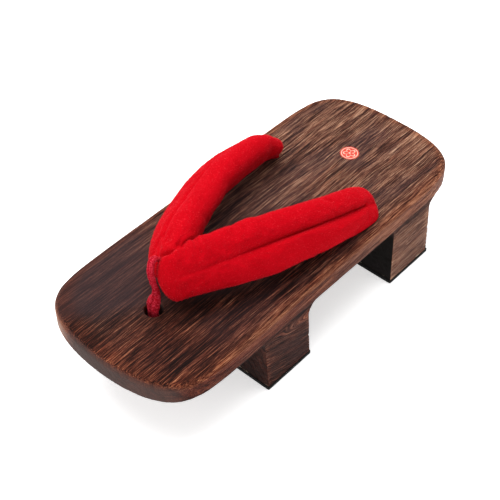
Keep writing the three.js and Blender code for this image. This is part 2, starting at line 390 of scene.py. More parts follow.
board = {
    "width": 100.0, "thickness": 12.0, "edgeRadius": 3.0, "lowerRadius": 0.9,
    "toeAcross": 2.05, "toeAlong": 12.0, "heelAcross": 2.6, "heelAlong": 11.5,
    "corner": 0.9, "columns": 210, "rows": 190, "edgeRings": 7, "sideRings": 7,
}
teeth = {
    "front": {"pad": "front_tread_pad", "toeShift": 1.4, "heelShift": 0.0, "flare": 1.2, "fillet": 8.0},
    "back": {"pad": "back_tread_pad", "toeShift": -3.3, "heelShift": -2.2, "flare": 2.4, "fillet": 5.0},
    "shoulder": 0.6, "padInset": 0.4, "corner": 0.7, "foot": 0.3, "levels": 44,
    "acrossSteps": 72, "alongSteps": 30, "cornerSteps": 4, "glue": 2.9,
}
holes = {"toe": 9.5, "heel": 10.0, "heelSlant": 5.0, "rim": 0.8, "steps": 64}
relief = {
    "fine": 0.14, "broad": 0.10, "fineWidth": 0.95, "broadWidth": 3.6, "length": 26.0, "seed": 11.0,
    "rimWidth": 7.0, "toeRim": 9.0, "chip": 0.45, "chipWidth": 1.7, "chipSeed": 3.0,
}
wornCorner = {"size": 5.2, "roll": 45.0, "yaw": 9.0, "shift": (-2.0, 1.9, -0.2)}
underside = deckZ - board["thickness"]


def boardRing(inset, z):
    # the board's outline: the toe end, the left side, the heel end and the right side
    columns, rows = board["columns"], board["rows"]
    halfX, halfY = board["width"] / 2 - inset, halfLength - inset
    cornerX = board["corner"] * halfX

    def endY(x, across, along):
        return halfY * (1 - np.abs(x / halfX) ** across) ** (1 / along)

    def sideX(y):
        across = np.where(y < 0, board["toeAcross"], board["heelAcross"])
        along = np.where(y < 0, board["toeAlong"], board["heelAlong"])
        return halfX * (1 - np.abs(y / halfY) ** along) ** (1 / across)

    x = np.linspace(-cornerX, cornerX, columns + 1)
    toe = np.column_stack([x, -endY(x, board["toeAcross"], board["toeAlong"])])
    heel = np.column_stack([x, endY(x, board["heelAcross"], board["heelAlong"])])
    y = np.linspace(toe[-1, 1], heel[-1, 1], rows + 1)
    side = np.column_stack([sideX(y), y])
    ring = np.vstack([toe[:-1], side[:-1], heel[::-1][:-1], (side * (-1, 1))[::-1][:-1]])
    return atHeight(ring, z)


def fillRing(ring):
    # a grid of columns and rows inside the outline, with the outline as its border
    columns, rows = board["columns"], board["rows"]
    closed = np.vstack([ring, ring[:1]])
    toe = closed[:columns + 1]
    right = closed[columns:columns + rows + 1]
    heel = closed[columns + rows:2 * columns + rows + 1][::-1]
    left = closed[2 * columns + rows:][::-1]
    s = np.linspace(0, 1, columns + 1)[None, :, None]
    t = np.linspace(0, 1, rows + 1)[:, None, None]
    corners = ((1 - s) * (1 - t) * toe[0] + s * (1 - t) * toe[-1]
               + (1 - s) * t * heel[0] + s * t * heel[-1])
    return (1 - t) * toe[None] + t * heel[None] + (1 - s) * left[:, None] + s * right[:, None] - corners


def boardPiece():
    radius, low = board["edgeRadius"], board["lowerRadius"]
    levels = []
    for turn in np.linspace(0, math.pi / 2, 4):
        levels.append((low * (1 - math.sin(turn)), underside + low * (1 - math.cos(turn))))
    for z in np.linspace(underside + low, deckZ - radius, board["sideRings"])[1:-1]:
        levels.append((0.0, z))
    for turn in np.linspace(0, math.pi / 2, board["edgeRings"]):
        levels.append((radius * (1 - math.cos(turn)), deckZ - radius + radius * math.sin(turn)))
    rings = [boardRing(inset, z) for inset, z in levels]
    around = len(rings[0])
    points = np.vstack(rings)
    faces = loftFaces(len(rings), around)
    faces.append(tuple(range(around))[::-1])
    grid = fillRing(rings[-1])
    start = len(points)
    columns, rows = board["columns"], board["rows"]
    for r in range(rows):
        for c in range(columns):
            near = start + r * (columns + 1) + c
            faces.append((near, near + 1, near + columns + 2, near + columns + 1))
    return newPiece("wooden_geta_block", np.vstack([points, grid.reshape(-1, 3)]), faces)


def toothPiece(tooth):
    padLow, padHigh = nodeBox(tooth["pad"])
    inset, footZ = teeth["padInset"], padHigh[2]
    toeFoot, heelFoot = padLow[1] - inset, padHigh[1] + inset
    toeTop, heelTop = toeFoot - tooth["toeShift"], heelFoot - tooth["heelShift"]
    rooted, fillet = underside + board["thickness"] / 2, tooth["fillet"]

    def roundedBox(halfWidth, toeY, heelY, shrink, z):
        corner = teeth["corner"]
        halfWidth, toeY, heelY = halfWidth - shrink, toeY + shrink, heelY - shrink
        x = np.linspace(-halfWidth + corner, halfWidth - corner, teeth["acrossSteps"])
        y = np.linspace(toeY + corner, heelY - corner, teeth["alongSteps"])
        arc = np.linspace(0, math.pi / 2, teeth["cornerSteps"] + 2)[1:-1]
        bend = np.column_stack([np.cos(arc), np.sin(arc)]) * corner
        edges = ((x, toeY), (halfWidth, y), (x[::-1], heelY), (-halfWidth, y[::-1]))
        bends = ((1, -1, -1), (1, 1, 1), (-1, 1, -1), (-1, -1, 1))
        parts = []
        for edge, (signX, signY, order) in zip(edges, bends):
            parts.append(np.column_stack(np.broadcast_arrays(*edge)))
            centre = (signX * (halfWidth - corner), toeY + corner if signY < 0 else heelY - corner)
            parts.append(centre + bend[::order] * (signX, signY))
        return atHeight(np.vstack(parts), z)

    foot = teeth["foot"]
    heights = [footZ + foot * (1 - math.cos(a)) for a in np.linspace(0, math.pi / 2, 4)]
    heights += list(np.linspace(footZ + foot, rooted, teeth["levels"])[1:])
    rings = []
    for z in heights:
        share = max(0.0, min(1.0, (underside - z) / (underside - footZ)))
        above = max(0.0, z - (underside - fillet))
        curve = fillet - math.sqrt(max(0.0, fillet ** 2 - min(above, fillet) ** 2))
        narrowest = board["width"] / 2 - teeth["shoulder"]
        halfWidth = narrowest + (tooth["flare"] + teeth["shoulder"]) * share
        toeY = toeTop + (toeFoot - toeTop) * share
        heelY = heelTop + (heelFoot - heelTop) * share
        down = max(0.0, footZ + foot - z) / foot
        shrink = foot * (1 - math.sqrt(max(0.0, 1 - down ** 2)))
        rings.append(roundedBox(halfWidth, toeY, heelY + curve, shrink, z))
    return stackPiece("tooth", rings)


def rodPiece(levels, steps):
    # a rod through (x, y, z, radius) levels from low to high
    turn = fullTurn(steps)
    rings = [np.column_stack([x + r * np.cos(turn), y + r * np.sin(turn), np.full(steps, z)])
             for x, y, z, r in levels]
    return stackPiece("rod", rings)


def heelHoleY(z):
    return heelHole[1] + holes["heelSlant"] * (z - underside) / board["thickness"]


def holeCutter(x, yAt, radius):
    rim = holes["rim"]
    shape = [(underside - 1.0, 1.9), (underside, 0.9), (underside + 0.3, 0.35), (underside + 0.9, 0.0),
             (deckZ - 1.1, 0.0), (deckZ - 0.6, 0.1), (deckZ - 0.25, 0.35), (deckZ, 0.8), (deckZ + 1.0, 2.2)]
    return rodPiece([(x, yAt(z), z, radius + rim * grow) for z, grow in shape], holes["steps"])


def chipCutter():
    # takes the worn lower heel corner off the back tooth
    padHigh = nodeBox("back_tread_pad")[1]
    cutter = newPiece("chip", *barShape(wornCorner["size"]))
    roll, yaw = (math.radians(wornCorner[k]) for k in ("roll", "yaw"))
    turn = Matrix.Rotation(roll, 4, "X") @ Matrix.Rotation(yaw, 4, "Z")
    places = pointsOf(cutter) @ np.array(turn.to_3x3()).T
    places += padHigh + wornCorner["shift"]
    movePoints(cutter, places)
    return cutter


def barShape(size):
    # a square bar across the sandal, three times as long as it is thick
    half = size / 2
    points = [(x, y, z) for x in (-3 * half, 3 * half) for y in (-half, half) for z in (-half, half)]
    faces = [(0, 1, 3, 2), (4, 6, 7, 5), (0, 4, 5, 1), (2, 3, 7, 6), (0, 2, 6, 4), (1, 5, 7, 3)]
    return points, faces


def brushGrain(piece):
    # brushed soft grain as shallow grooves along the block, and the numbers that its finish reads
    places, normals = pointsOf(piece), normalsOf(piece)
    x, y, z = places.T
    fineWidth, broadWidth, length = relief["fineWidth"], relief["broadWidth"], relief["length"]
    fine = gridNoise(places / (fineWidth, length, fineWidth), relief["seed"])
    broad = gridNoise(places / (broadWidth, 2 * length, broadWidth), 2 * relief["seed"])
    groove = smoothStep(-0.1, 0.45, fine)
    hollow = smoothStep(-0.2, 0.5, broad)
    endGrain = np.abs(normals[:, 1]) ** 2
    frontLow, frontHigh = nodeBox("front_tread_pad")
    toeEdge, heelEdge, padTop = frontLow[1], frontHigh[1], frontHigh[2]
    free = smoothStep(padTop, padTop + 1.5, z) * (1 - 0.8 * endGrain)
    depth = (relief["fine"] * groove + relief["broad"] * hollow) * free
    backLow, backHigh = nodeBox("back_tread_pad")
    inFront = smoothStep(toeEdge - 8, toeEdge, y) * (1 - smoothStep(heelEdge, heelEdge + 9, y))
    below = 1 - smoothStep(underside - 7, underside, z)
    # small chips along the teeth's upright edges
    corners = np.min([np.abs(y - edge) for edge in (toeEdge, heelEdge, backLow[1], backHigh[1])], axis=0)
    chips = smoothStep(0.12, 0.4, gridNoise(places / relief["chipWidth"], relief["chipSeed"]))
    chips *= smoothStep(2.0, 0.6, corners)
    depth += relief["chip"] * chips * below * smoothStep(padTop + 0.2, padTop + 1.2, z)
    movePoints(piece, places - normals * depth[:, None])
    slope = 0.33 * (y - toeEdge) * inFront * below
    keepPlaces(piece, "grainPlace", np.column_stack([x, y, z + slope]))
    flank = smoothStep(0.5, 0.95, np.abs(normals[:, 0]))
    onEdge = smoothStep(0.25, 0.7, normals[:, 2]) * (1 - smoothStep(0.8, 0.97, normals[:, 2]))
    keepNumbers(piece, groove=0.5 * groove + 0.5 * hollow, flank=flank, toothFace=below,
                endGrain=smoothStep(0.35, 0.85, np.abs(normals[:, 1])),
                rubbed=onEdge * (z > deckZ - board["edgeRadius"] - 0.3),
                frontTooth=below * smoothStep(heelEdge + 12, heelEdge + 4, y),
                rim=nearOutline(places) * smoothStep(deckZ - 4, deckZ - 2, z),
                corner=smoothStep(3.0, 0.3, corners) * below * flank)


def nearOutline(places):
    # 1 at the board's outline, falling to 0 inside it
    outline = boardRing(0, 0)
    tree = KDTree(len(outline))
    for i, point in enumerate(outline):
        tree.insert(Vector((point[0], point[1], 0)), i)
    tree.balance()
    reach = np.array([tree.find(Vector((x, y, 0)))[2] for x, y in places[:, :2]])
    width = relief["rimWidth"] + relief["toeRim"] * smoothStep(-80, -112, places[:, 1])
    return smoothStep(1, 0.25, reach / width)


def makeBlock():
    block = boardPiece()
    for end in ("front", "back"):
        combine(block, toothPiece(teeth[end]), "UNION")
    combine(block, holeCutter(0, lambda z: toeHole[1], holes["toe"] / 2), "DIFFERENCE")
    for side in (1, -1):
        combine(block, holeCutter(side * heelHole[0], heelHoleY, holes["heel"] / 2), "DIFFERENCE")
    combine(block, chipCutter(), "DIFFERENCE")
    tidyMesh(block.data)
    brushGrain(block)
    finishPiece(block, scorchedWood(), "burnt_wood", "wooden_block", sharpAbove=42)


woodFinish = {
    "tone": 0.34, "ringCentre": (-140.0, -100.0), "ringWidth": 4.2, "ringSway": 16.0,
    "wave": ((0.05, 0.045, 0.05), 2.0, 0.5, 0.0, (3, 1, 8)), "bump": 0.6, "bumpHeight": 0.4,
    "stampPlace": (-1.1, 77.3), "stampRadius": 5.6,
}
# Frequencies across, along and up, for each millimetre, then detail, roughness, distortion and shift.
woodPatterns = {
    "sway": ((0.05, 0.006, 0.05), 2.0), "hair": ((2.9, 0.07, 2.9), 2.0, 0.6),
    "streak": ((2.4, 0.035, 2.4), 3.0, 0.62, 0.12), "flake": ((2.6, 0.26, 2.6), 2.0, 0.6, 0.6, (9, 2, 4)),
    "pores": ((1.9, 0.025, 1.9), 2.0, 0.5, 0.0, (2, 5, 7)),
    "band": ((0.16, 0.012, 0.16), 3.0, 0.6, 0.0, (5, 3, 1)),
    "cloud": ((0.03, 0.014, 0.03), 2.0, 0.5, 0.0, (1.7, 4.1, 0)), "speck": ((1.7, 1.2, 1.7), 3.0, 0.7),
    "layers": ((0.09, 0.09, 1.5), 3.0, 0.6, 0.0, (1, 6, 2)),
    "ruddy": ((0.9, 0.05, 0.9), 3.0, 0.6, 0.0, (3, 8, 6)),
    "smoky": ((0.05, 0.022, 0.05), 2.0, 0.5, 0.0, (0.4, 7, 2)),
    "glue": ((0.1, 0.11, 0.9), 2.0, 0.6, 0.0, (2, 6, 0)),
}
# Each number's weight in the tone of the wood, and the value at which it changes nothing.
# Several numbers here paint light and shade: the left strap's shadow and reddish bounce, the shade on the
# teeth's faces, and the light on the long sides, the right toe corner and the right of the end walls.
woodWeights = {
    "lengthwise": (1.0, 0.0), "cloud": (0.5, 0.5), "late": (-0.10, 0.3), "towardsHeel": (0.10, 0.4),
    "smoke": (-0.12, 0.0), "groove": (-0.12, 0.4), "rubbed": (0.10, 0.0), "rim": (0.02, 0.0),
    "flank": (-0.12, 0.0), "speck": (0.3, 0.5), "toothFace": (0.3, 0.0), "charAndShade": (-0.9, 0.0),
    "corner": (0.12, 0.0), "frontTooth": (-0.22, 0.0), "frontCharAndShade": (0.76, 0.0),
    "strapShadeAndBounce": (-0.06, 0.0), "sideTanAndLight": (0.27, 0.0), "toeCornerLight": (0.3, 0.0),
    "shadeBesideStrap": (-0.1, 0.0), "wallToneAndLight": (1.0, 0.0),
}
woodColours = [
    (0.0, (17, 8, 6)), (0.2, (48, 26, 20)), (0.4, (82, 50, 39)), (0.58, (116, 78, 61)),
    (0.78, (152, 112, 88)), (1.0, (190, 152, 124)),
]


def bentGrain(m):
    # places in the grain, which waves, most towards the heel, and the same places unbent
    grain = m.places("grainPlace")
    x, y, z = m.parts(grain)
    wave = m.noise(grain, *woodFinish["wave"])
    bend = m.product(m.math("SUBTRACT", wave, 0.5), m.spread(y, -10.0, 70.0, 0.8, 2.6))
    joined = m.add("ShaderNodeCombineXYZ")
    for socket, value in zip(joined.inputs, (m.math("ADD", x, bend), y, z)):
        m.put(socket, value)
    return joined.outputs[0], x, y, z


def growthRings(m, sway, x, z):
    # late wood of the rings round the tree's middle, which lies along the sandal, below and to the right
    centreX, centreZ = woodFinish["ringCentre"]
    radius = m.reach(m.math("SUBTRACT", x, centreX), m.math("SUBTRACT", z, centreZ))
    radius = m.math("MULTIPLY_ADD", sway, woodFinish["ringSway"], radius)
    phase = m.math("FRACT", m.math("DIVIDE", radius, woodFinish["ringWidth"]))
    return m.zone((phase, 0.45, 0.93), (phase, 1.0, 0.93))


def woodNumbers(m, grain, x, y, z):
    # the patterns, the piece's own numbers, and the zones that are placed one by one
    n = {name: m.number(name) for name in ("endGrain", "flank", "toothFace", "rim", "corner", "rubbed",
                                           "frontTooth", "groove")}
    n |= {name: m.noise(grain, *pattern) for name, pattern in woodPatterns.items()}
    n["late"] = growthRings(m, n["sway"], x, z)
    n["towardsHeel"] = m.spread(y, -60.0, 100.0)
    # right of the loop the wood is a calm grey, and in front of it a warmer brown
    offLine = m.math("MULTIPLY_ADD", m.math("ADD", y, 80.0), -0.75, x)
    n["besideLoop"] = m.zone((offLine, 4.0, -9.0), (y, -25.0, -60.0))
    n["beforeLoop"] = m.zone((offLine, -4.0, 8.0), (y, -66.0, -84.0))
    calm = m.math("MULTIPLY_ADD", n["flank"], -0.3, m.without(n["endGrain"], 0.72))
    calm = m.product(calm, m.without(n["besideLoop"], 0.5))
    pore = m.spread(n["pores"], 0.46, 0.38)
    lengthwise = m.total(0.0, (n["hair"], 2.0, 0.5), (n["streak"], 0.7, 0.5), (n["flake"], 0.6, 0.5),
                         (n["band"], 0.45, 0.5), (pore, -0.19, 0.25))
    n["lengthwise"] = m.product(lengthwise, calm)
    # greyer wood towards the toe and the right, and between the straps
    n["smoke"] = m.zone((y, -20.0, -95.0), (x, 40.0, -10.0))
    n["between"] = m.zone((m.apart(y, 0.0), 55.0, 15.0), (x, 24.0, -4.0))
    # the end walls of the board, and the teeth's faces across it, which are darkened for charring and for
    # painted shade, near black on the back tooth
    n["wall"] = m.product(n["endGrain"], m.without(n["toothFace"]))
    n["charAndShade"] = m.product(n["endGrain"], n["toothFace"])
    n["frontCharAndShade"] = m.product(n["charAndShade"], n["frontTooth"])
    # the left strap's painted shadow with its reddish bounce light, as a chestnut patch to the left; painted
    # light on a paler right toe corner; and painted shadow as darker wood beside the left strap
    n["strapShadeAndBounce"] = m.product(m.zone((y, 25.0, -35.0), (x, -16.0, 14.0)), m.without(n["rim"]))
    n["toeCornerLight"] = m.zone((x, -14.0, -38.0), (y, -82.0, -98.0), (z, 47.8, 46.0))
    n["shadeBesideStrap"] = m.zone((y, -74.0, -40.0), (y, 44.0, 20.0), (x, 4.0, 22.0), (x, 47.0, 41.0))
    # the board's long sides are a paler tan than its deck, partly their own colour and partly painted light
    n["sideTanAndLight"] = m.product(n["flank"], m.spread(z, 36.6, 38.6))
    # the end walls are paler to the right, which is painted light, and dark in the middle, with fine lines
    # along the board
    drift = m.total(0.02, (m.spread(x, -12.0, -36.0), 0.36, 0.0), (n["layers"], 0.7, 0.5),
                    (n["speck"], 0.5, 0.5), (m.spread(m.apart(x, 6.0), 26.0, 10.0), -0.1, 0.0))
    n["wallToneAndLight"] = m.product(drift, n["wall"])
    return n


def greyedWood(m, n):
    greyed = m.most(m.spread(n["smoky"], 0.46, 0.64), m.product(n["smoke"], 0.8),
                    m.product(n["between"], 1.3))
    greyed = m.product(greyed, m.without(n["rim"], 0.9), m.without(n["beforeLoop"], 0.8))
    return m.most(greyed, m.product(n["besideLoop"], 1.4))


def driedGlue(m, n, y, z):
    # pale, in places along the joint with the treads
    joint = m.product(m.spread(z, teeth["glue"], teeth["glue"] - 0.35), n["toothFace"])
    smeared = m.product(m.spread(m.apart(y, -30.0), 9.0, 6.0), 0.12)
    return m.product(joint, m.spread(m.math("ADD", n["glue"], smeared), 0.56, 0.6))


def scorchedWood():
    m = Nodes("scorched_wood")
    grain, x, y, z = bentGrain(m)
    n = woodNumbers(m, grain, x, y, z)
    tone = m.total(woodFinish["tone"], *((n[name], *given) for name, given in woodWeights.items()))
    colour = m.ramp(tone, woodColours)
    # reddish, greyish and orange drifts, the left strap's painted shadow with its reddish bounce, a tan on
    # the rim and, partly as painted light, on the long sides, ashy walls, char with painted shade, and glue:
    # each one's share, colour and blend
    soft = "SOFT_LIGHT"
    drifts = (
        (m.spread(n["ruddy"], 0.5, 0.66, 0.0, 0.3), (168, 90, 66), soft),
        (m.product(greyedWood(m, n), 0.22), (66, 52, 56), "MIX"),
        (m.product(n["beforeLoop"], 0.22), (196, 136, 70), soft),
        (m.product(m.most(n["strapShadeAndBounce"], n["shadeBesideStrap"]), 0.4), (150, 70, 44), soft),
        (m.product(m.most(n["rim"], n["sideTanAndLight"]), 0.5), (184, 124, 82), soft),
        (m.product(n["wall"], m.spread(x, -34.0, -10.0, 0.15, 0.45)), (88, 72, 68), "MIX"),
        (m.product(n["charAndShade"], m.without(n["frontTooth"]), 0.7), (16, 14, 12), "MIX"),
        (m.product(driedGlue(m, n, y, z), 0.8), (196, 182, 160), "MIX"),
    )
    for share, given, blend in drifts:
        colour = m.mix(share, colour, paint(*given), blend)
    colour, printed = stampOn(m, colour)
    m.set(Base_Color=colour, Specular_IOR_Level=0.08)
    m.set(Roughness=m.spread(tone, 0.1, 0.9, 0.7, 0.54))
    height = m.total(0.0, (n["lengthwise"], 1.0, 0.0), (n["late"], 0.3, 0.0), (n["speck"], 0.25, 0.5))
    height = m.product(height, m.without(printed, 0.6))
    m.set(Normal=m.bump(height, woodFinish["bump"], woodFinish["bumpHeight"]))
    return m.material


def stampOn(m, colour):
    # a small round print near the heel: a coral disc with a pale ring and a plain five-petal flower
    x, y, z = m.parts(m.places())
    alongX = m.math("SUBTRACT", x, woodFinish["stampPlace"][0])
    alongY = m.math("SUBTRACT", y, woodFinish["stampPlace"][1])
    reach = m.math("DIVIDE", m.reach(alongX, alongY), woodFinish["stampRadius"])
    turn = m.math("ARCTAN2", alongY, alongX)
    petal = m.math("ABSOLUTE", m.math("COSINE", m.product(turn, 2.5)))
    edge = m.math("MULTIPLY_ADD", petal, 0.36, 0.26)
    disc = m.zone((reach, 1.0, 0.95), (z, deckZ - 1.5, deckZ - 0.8))
    ring = m.zone((reach, 0.76, 0.80), (reach, 0.88, 0.84))
    outline = m.without(m.spread(m.apart(reach, edge), 0.035, 0.075))
    pale = m.most(ring, outline, m.spread(reach, 0.13, 0.09))
    patchy = m.noise(m.places(), (1.5, 0.3, 1.5), 2.0)
    ink = m.mix(pale, paint(206, 70, 56), paint(232, 190, 172))
    share = m.product(disc, m.spread(patchy, 0.3, 0.5, 0.72, 0.95))
    return m.mix(share, colour, ink), disc


makeBlock()


# Rubber treads

def blackRubber():
    m = Nodes("black_rubber")
    places = m.places()
    mottled = m.noise(places, (0.35, 0.35, 0.35), 3.0)
    grit = m.noise(places, (3.0, 3.0, 3.0), 2.0)
    m.set(Base_Color=m.ramp(mottled, [(0.3, (10, 10, 10)), (0.7, (22, 21, 20))]))
    m.set(Roughness=m.spread(mottled, 0.3, 0.7, 0.62, 0.82), Specular_IOR_Level=0.14)
    weave = m.add("ShaderNodeTexWave", wave_type="BANDS", bands_direction="DIAGONAL")
    m.put(weave.inputs["Vector"], places)
    m.put(weave.inputs["Scale"], 0.45)
    m.set(Normal=m.bump(m.total(grit, (weave.outputs["Fac"], 0.5, 0.0)), 0.4, 0.15))
    return m.material


tread = {"proud": 0.8, "edge": 0.15, "corner": 0.7, "wander": 0.14, "wanderRate": 0.22, "steps": 60}


def makeTread(name, node, material):
    low, high = nodeBox(node)
    low[:2] -= tread["proud"]
    high[:2] += tread["proud"]
    edge, corner = tread["edge"], tread["corner"]
    corners = ((-1, -1), (1, -1), (1, 1), (-1, 1))
    square = np.vstack([np.linspace(a, b, tread["steps"], endpoint=False)
                        for a, b in zip(corners, corners[1:] + corners[:1])])
    middle, half = (low + high) / 2, (high - low) / 2
    flat = square * half[:2]
    inner = half[:2] - corner
    beyond = np.maximum(np.abs(flat) - inner, 0)
    length = np.maximum(np.linalg.norm(beyond, axis=1), 1e-9)[:, None]
    rounded = np.minimum(np.abs(flat), inner) + beyond / length * np.minimum(length, corner)
    outline = np.sign(flat) * rounded
    wander = gridNoise(atHeight(outline * tread["wanderRate"], 0.0), middle[1])
    rings = []
    for inset, z in ((edge, low[2]), (edge * 0.3, low[2] + edge * 0.3), (0, low[2] + edge),
                     (0, high[2] - edge), (edge * 0.3, high[2] - edge * 0.3), (edge, high[2])):
        trimmed = 1 - (inset + tread["wander"] * (0.5 + 0.5 * wander)) / np.linalg.norm(outline, axis=1)
        ring = outline * trimmed[:, None] + middle[:2]
        rings.append(atHeight(ring, z))
    finishPiece(stackPiece(name, rings), material, "tread_rubber", node, sharpAbove=50)


rubber = blackRubber()
makeTread("front_tread", "front_tread_pad", rubber)
makeTread("back_tread", "back_tread_pad", rubber)


# Strap pair

strap = {
    "width": 28.0, "thickness": 16.0, "rise": 20.7, "heelEnd": 9.5, "toeEnd": 7.5, "tip": 0.4,
    "creaseDepth": 4.6, "creaseSpread": 1.35, "creasePower": 1.15, "puff": 0.86,
    "sections": 200, "around": 128, "capRings": 16, "seat": 0.3, "seatSoftness": 0.5,
    "neckRadius": 4.4, "neckFolds": 9, "clearance": 0.3, "foldRadius": 11.0, "foldFade": 0.6,
    "easeReach": 8.5, "easeTimes": 14, "pressDepth": 1.5, "pressWidth": 1.5,
}
# One row for each section from the heel hole to the toe: its places along, across and up, its width,
# thickness and crease, all as shares of the sizes above, and its tilt in degrees.
# One row for each fold: share of the way and degrees round the section (90 is its top) of its start,
# the same of its end, towards which it fades, then its width and its lift, below 0 for a trough.
leftStrap = {"side": 1, "creaseAt": 0.0, "rows": [
    (0.045, 1.01, 0.17, 0.85, 0.88, 0.6, 42),
    (0.145, 1.0, 0.42, 0.92, 1.02, 1.0, 47),
    (0.36, 0.92, 0.77, 1.0, 1.10, 1.0, 43),
    (0.575, 0.70, 0.93, 1.09, 1.08, 0.75, 43),
    (0.76, 0.425, 0.99, 1.03, 1.02, 0.25, 52),
    (0.925, 0.16, 0.98, 0.94, 0.95, 0.06, 56),
], "folds": [
    (0.865, 180, 0.875, 122, 1.3, -1.7),
    (0.89, 170, 0.89, 150, 2.1, 1.0),
    (0.84, 174, 0.845, 136, 2.4, 0.9),
    (0.92, 180, 0.935, 126, 1.1, -1.0),
    (0.96, 168, 0.98, 130, 2.0, 0.6),
    (1.0, 184, 1.06, 184, 5.0, -2.4),
    (0.795, 178, 0.79, 128, 1.6, -0.7),
    (0.70, 180, 0.715, 130, 2.4, -0.7),
    (0.63, 172, 0.62, 150, 3.6, 0.7),
    (0.79, 96, 0.86, 86, 0.9, -0.5),
    (0.82, 106, 0.91, 99, 0.8, -0.35),
    (0.86, 76, 0.93, 64, 1.0, -0.3),
    (0.30, 128, 0.34, 158, 1.6, -0.35),
    (0.10, 60, 0.22, 40, 2.4, -0.4),
    (0.45, 30, 0.47, 66, 2.2, -0.4),
]}
rightStrap = {"side": -1, "creaseAt": 0.2, "rows": [
    (0.06, 1.0, 0.32, 0.86, 0.80, 0.25, 42),
    (0.145, 1.0, 0.60, 0.96, 0.98, 0.7, 50),
    (0.36, 0.90, 0.83, 1.08, 1.10, 0.75, 44),
    (0.575, 0.675, 0.91, 1.12, 1.10, 0.7, 41),
    (0.76, 0.38, 0.97, 1.09, 1.14, 0.45, 46),
    (0.87, 0.15, 0.90, 1.04, 0.98, 0.2, 54),
], "folds": [
    (0.24, 318, 0.36, 322, 8.0, 1.4),
    (0.98, 104, 0.86, 84, 1.3, -1.5),
    (0.95, 58, 0.80, 44, 1.6, -0.6),
    (1.0, 20, 0.86, 8, 1.8, -0.8),
    (0.72, 345, 0.68, 14, 2.4, -0.5),
    (0.50, 350, 0.44, 20, 3.0, -0.4),
    (0.16, 40, 0.10, 350, 2.6, -0.4),
]}


def strapFrames(which, shares):
    # the strap's middle line, its directions and its sizes at each share of its way
    side, holeY = which["side"], heelHoleY(deckZ)
    places = [(side * across * heelHole[0], holeY + (toeHole[1] - holeY) * along,
               deckZ + rise * strap["rise"]) for along, across, rise, *_ in which["rows"]]
    sizes = [(width * strap["width"] / 2, thickness * strap["thickness"] / 2,
              crease * strap["creaseDepth"], math.radians(tilt))
             for *_, width, thickness, crease, tilt in which["rows"]]
    middle = smoothThrough(places, shares)
    step = 1e-3
    ahead = smoothThrough(places, shares + step) - smoothThrough(places, shares - step)
    tangent = ahead / np.linalg.norm(ahead, axis=1)[:, None]
    up = np.array([0, 0, 1.0]) - tangent * tangent[:, 2:3]
    up /= np.linalg.norm(up, axis=1)[:, None]
    lateral = np.cross(up, tangent)
    halfWidth, halfThickness, crease, tilt = smoothThrough(sizes, shares).T
    normal = up * np.cos(tilt)[:, None] + lateral * (side * np.sin(tilt))[:, None]
    wide = np.cross(normal, tangent)
    return middle, tangent, normal, wide, halfWidth, halfThickness, crease


def foldLift(which, place, turn, length):
    # how far the listed folds lift the skin, at each place along the strap and turn round it
    lift = np.zeros((len(place), len(turn)))
    radius = strap["foldRadius"]
    for startShare, startTurn, endShare, endTurn, width, height in which["folds"]:
        start = np.array([startShare * length, math.radians(startTurn) * radius])
        run = np.array([endShare * length, math.radians(endTurn) * radius]) - start
        along = place[:, None] * length - start[0]
        apart = turn[None] - math.radians(startTurn)
        round_ = ((apart + math.pi) % (2 * math.pi) - math.pi) * radius
        share = np.clip((along * run[0] + round_ * run[1]) / max(run @ run, 1e-9), 0, 1)
        distance = np.hypot(along - share * run[0], round_ - share * run[1])
        lift += height * (1 - strap["foldFade"] * share) * np.exp(-(distance / width) ** 2)
    return lift


def strapGrid(which, sections, around, capRings):
    # the strap's skin as a grid of sections, with its round ends, and each section's place along it
    cap = np.linspace(0, math.pi / 2, capRings + 1)[1:-1]
    shares = np.concatenate([np.zeros(len(cap)), np.linspace(0, 1, sections), np.ones(len(cap))])
    scale = np.concatenate([np.sin(cap), np.ones(sections), np.sin(cap[::-1])])
    ahead = np.concatenate([-strap["heelEnd"] * np.cos(cap), np.zeros(sections),
                            strap["toeEnd"] * np.cos(cap[::-1])])
    middle, tangent, normal, wide, halfWidth, halfThickness, crease = strapFrames(which, shares)
    length = np.linalg.norm(np.diff(middle, axis=0), axis=1).sum()
    place = shares + ahead / length
    middle = middle + tangent * ahead[:, None]
    turn = fullTurn(around)
    across = (halfWidth * scale)[:, None] * np.cos(turn)[None]
    through = (halfThickness * scale)[:, None] * signedPower(np.sin(turn), strap["puff"])[None]
    offCrease = across - which["creaseAt"] * halfWidth[:, None]
    groove = np.exp(-(np.abs(offCrease) / strap["creaseSpread"]) ** strap["creasePower"])
    groove = groove * (crease * scale * smoothStep(0.6, 0.97, scale))[:, None]
    through = through - np.where(np.sin(turn)[None] > 0, groove, 0)
    outAcross = np.cos(turn)[None] / halfWidth[:, None]
    outThrough = np.sin(turn)[None] / halfThickness[:, None]
    outward = np.hypot(outAcross, outThrough)
    lift = foldLift(which, place, turn, length) * scale[:, None]
    across = across + lift * outAcross / outward
    through = through + lift * outThrough / outward
    grid = middle[:, None] + wide[:, None] * across[:, :, None] + normal[:, None] * through[:, :, None]
    return grid, middle, tangent, place


def seatOnDeck(points):
    # cloth that would go below the deck lies flat on it instead
    soft, floor = strap["seatSoftness"], deckZ + strap["seat"]
    over = np.clip((points[..., 2] - floor) / soft, -40, 40)
    points[..., 2] = np.where(over > 30, points[..., 2], floor + soft * np.log1p(np.exp(over)))
    return points


stuffing = {
    "sections": 60, "around": 44, "capRings": 4, "slack": 0.4, "pressure": 4.0, "grow": 0.012,
    "stiffness": 12.0, "bending": 0.5, "frames": 20, "cap": 0.7, "creasePinned": 0.82,
}


